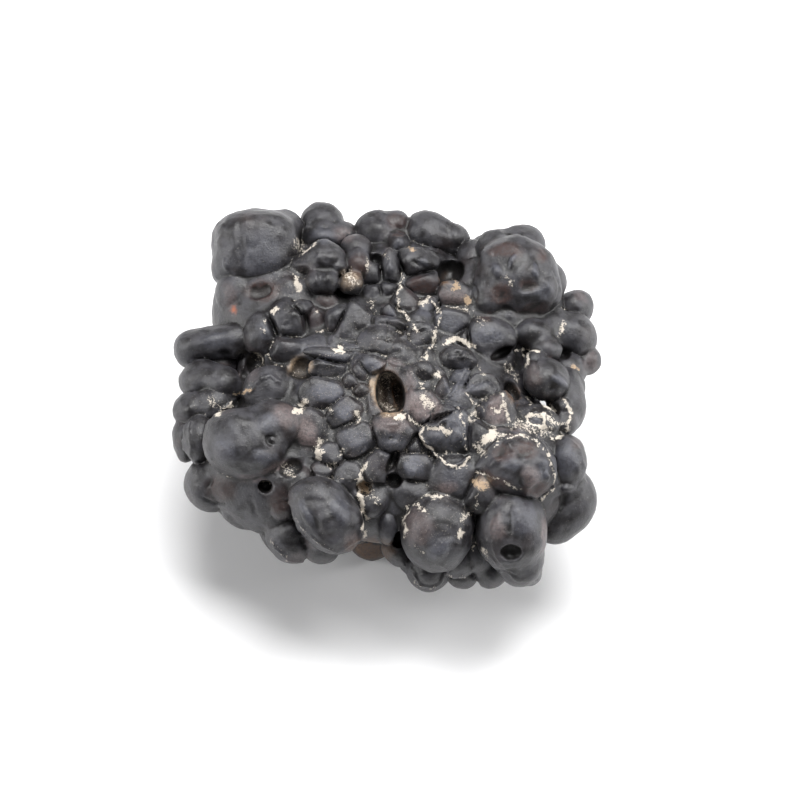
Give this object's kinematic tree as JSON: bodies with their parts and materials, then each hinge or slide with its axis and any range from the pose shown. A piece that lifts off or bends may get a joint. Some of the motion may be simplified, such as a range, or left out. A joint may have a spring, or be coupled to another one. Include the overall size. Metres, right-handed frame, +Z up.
{
  "type": "limonite concretion",
  "caption": "Knobbly dark iron-oxide concretion with fused botryoidal lumps, pits and a small round hole, resting on three blunt feet.",
  "frame": {"origin": "middle of the footprint, on the plane the stone rests on", "axes": "+Z up from the table, +X along the stone's longest side, +Y away from the side that the picture was taken from"},
  "size_m": [0.0512, 0.0493, 0.0288],
  "materials": {
    "iron_oxide": "dark blue-grey, half glossy on the knobs, brown and dusty in the hollows"
  },
  "bodies": {
    "root": {"concretion": "iron_oxide"}
  },
  "joints": []
}
